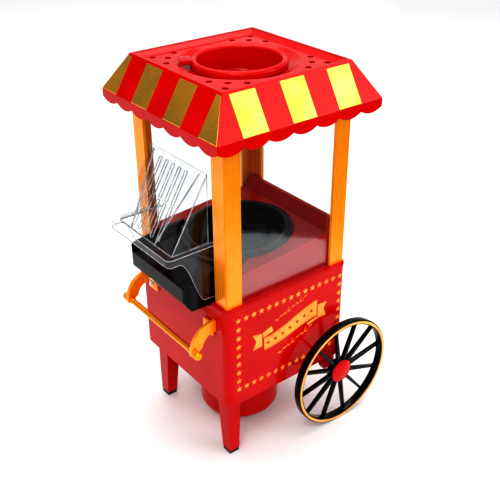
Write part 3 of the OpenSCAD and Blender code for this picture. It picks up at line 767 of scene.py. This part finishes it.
# %% Dashes along the ribbon
FOIL_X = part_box("foil_right")[1].x / MM
DASH_STEP, DASHES, INSET = 2.9, 22, 1.4


def ribbon_edge(y, side):
    wave = 134.6 + 7 * math.sin(math.radians(90 * (y - 6) / 34))
    return wave + side * (7.8 + y / 27 - INSET)


dash = block("dash", (FOIL_X - 0.05, -0.85, -0.22), (FOIL_X + 0.12, 0.85, 0.22), 0.05, 1)
runs = [[(start + DASH_STEP * i, ribbon_edge(start + DASH_STEP * i, side)) for i in range(DASHES)]
        for side, start in ((1, -28.4), (-1, -25.9))]
runs += [[(-42.4, 141.6), (-40, 141.2), (-37.4, 140.8), (-34.8, 140.2)],     # the folded tails
         [(-42.2, 127.6), (-39.6, 127.8), (-37, 128), (-34.4, 128.2)],
         [(38.4, 143), (41, 142.8), (43.6, 142.6), (46, 142.4)],
         [(38.4, 129.8), (41, 129.7), (43.6, 129.6), (46, 129.5)],
         [(-29.6, 137), (-27.2, 137.7), (-24.8, 138.4), (-22.4, 139)]]
dashes = []
for run in runs:
    for here, there in zip(run, run[1:]):
        slope = math.atan2(there[1] - here[1], there[0] - here[0])
        spot = Matrix.Translation(Vector((0, *here)) * MM)
        dashes.append(copied(dash, spot @ Matrix.Rotation(slope, 4, "X"), "dash"))
bpy.data.objects.remove(dash)
print("dashes on a side:", len(dashes))


# %% Put a trim on both sides
def trim_both_sides(name, parts, finish):
    right = place(joined(name + "_right", *parts), SHIFT)
    for piece in (right, copied(right, MIRROR, name + "_left")):
        wear(piece, finish)
        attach(piece, "cart")
        print(piece.name, "has", len(piece.data.polygons), "faces")


trim_both_sides("ribbon_dashes", dashes, stitch_ink)


# %% Pen flourishes
def flourish(name, start, end, loops, tall, nib):
    path, count = [], 18 * loops
    for i in range(count + 1):
        t = i / count
        angle = math.tau * loops * t
        swell = 0.65 + 0.35 * math.sin(angle / 3.1 + 1)
        reach = tall * swell * min(1, 8 * t, 8 * (1 - t))
        along = reach * (0.5 * math.cos(angle) + 0.35 * math.sin(angle))
        path.append((FOIL_X - 0.24, start[0] + (end[0] - start[0]) * t + along,
                     start[1] + (end[1] - start[1]) * t + reach * math.sin(angle)))
    piece = trace(name, path)
    edit(piece)
    pull = Vector((0, *nib)) * MM
    bpy.ops.mesh.extrude_region_move(TRANSFORM_OT_translate={"value": pull})
    leave()
    return thicken(piece, (0.3, 0, 0))


swashes = [flourish("swash", (-17.5, 148.5), (22, 162), 8, 2.7, nib=(0.45, 0.85)),
           flourish("swash", (-14, 108.5), (30, 124), 8, 2.8, nib=(0.6, 1.15))]
trim_both_sides("flourish", swashes, star_foil)

# %% [markdown]
# ## Floor, light and camera
# The cart stands on a pale seamless table. A broad lamp overhead, a tall one behind to the right
# and the white room give long soft reflections, as a product shot has. A dark card to the front
# left is what the front stripes mirror, so they turn deep gold while the side ones stay bright,
# and a second one on the table clears the upper half of the right pane. The cards cast no shadow
# and the camera can't see them: only shiny faces do.
# The camera looks down from the front right, where the hood, the stars and a wheel all show.

# %% Floor and cards
def stage_plane(name, matrix, net):
    bpy.ops.object.select_all(action="DESELECT")
    bpy.ops.mesh.primitive_plane_add(size=1)
    sheet = bpy.context.object
    sheet.name = name
    sheet.data.transform(matrix)
    sheet.data.materials.append(net.material)
    return sheet


FLOOR_SIZE = 12
paper = Net("studio_paper")
fibre = paper.noise(60, 4)
paper.finish(Base_Color=paper.mix(fibre, (0.90, 0.90, 0.90), (0.86, 0.86, 0.86)),
             Roughness=paper.spread(fibre, 0.3, 0.7, 0.7, 0.85),
             Normal=paper.bump(fibre, 0.1 * MM))
stage_plane("studio_floor", Matrix.Diagonal((FLOOR_SIZE, FLOOR_SIZE, 1, 1)), paper)

felt = Net("studio_felt")
felt.finish(Base_Color=felt.mix(felt.noise(90, 3), (0.04, 0.035, 0.03), (0.06, 0.055, 0.05)),
            Roughness=0.9)


def dark_card(name, matrix):
    card = stage_plane(name, matrix, felt)
    card.visible_camera = card.visible_shadow = card.visible_diffuse = False


TO_CARD, CARD_SIZE = Vector((-0.684, -0.690, 0.236)), (1.0, 0.5, 1, 1)
turn = TO_CARD.to_track_quat("Z", "Y").to_matrix().to_4x4()
card_centre = Vector((0, 0, 0.36)) + TO_CARD * 1.3
dark_card("stripe_card", Matrix.Translation(card_centre) @ turn @ Matrix.Diagonal(CARD_SIZE))
PANE_CARD_EDGE, PANE_CARD_TURN, PANE_CARD_SIZE = (0.373, 0.270, 0.001), -38.3, 4.0
dark_card("pane_card", Matrix.Translation(PANE_CARD_EDGE)
          @ Matrix.Rotation(math.radians(PANE_CARD_TURN), 4, "Z")
          @ Matrix.Translation((0, PANE_CARD_SIZE / 2, 0))
          @ Matrix.Diagonal((PANE_CARD_SIZE, PANE_CARD_SIZE, 1, 1)))


# %% Light
AIM = Vector((0, 0, 0.2))


def lamp(name, place, size, power):
    bpy.ops.object.light_add(type="AREA", location=place)
    light = bpy.context.object
    light.name = name
    light.data.shape = "RECTANGLE"
    light.data.size = light.data.size_y = size
    light.data.energy = power
    light.rotation_euler = (AIM - Vector(place)).to_track_quat("-Z", "Y").to_euler()
    print(name, "is", size, "m wide and gives", power, "W")


lamp("overhead_lamp", (-0.3, 0.2, 1.9), 1.6, 14)
lamp("rear_right_lamp", (1.5, 1.1, 0.85), 1.2, 8)
lamp("front_right_lamp", (1.6, -1.2, 1.2), 1.0, 5)
lamp("glint_lamp", (0.58, -0.83, 1.6), 0.35, 4)
scene = bpy.context.scene
scene.world = bpy.data.worlds.new("studio_room")
scene.world.use_nodes = True
walls = scene.world.node_tree.nodes["Background"]
walls.inputs["Color"].default_value = (1, 1, 1, 1)
walls.inputs["Strength"].default_value = 0.5
scene.view_settings.view_transform = "Standard"
scene.view_settings.look = "Very High Contrast"
scene.cycles.transparent_max_bounces = 32   # many clear walls stand one behind another

# %% Camera
AZIMUTH, ELEVATION, ROLL = math.radians(52.26), math.radians(30.17), math.radians(-0.36)
bpy.ops.object.camera_add(location=(0.54114, CART_Y - 0.40831, 0.57989))
camera = bpy.context.object
camera.name = "front_right_camera"
camera.data.lens, camera.data.sensor_width = 57.17, 36
look = Vector((-math.sin(AZIMUTH) * math.cos(ELEVATION),
               math.cos(AZIMUTH) * math.cos(ELEVATION), -math.sin(ELEVATION)))
camera.rotation_mode = "QUATERNION"
camera.rotation_quaternion = Quaternion(-look, ROLL) @ look.to_track_quat("-Z", "Y")
camera.data.clip_start, camera.data.clip_end = 0.01, 50
scene.camera = camera
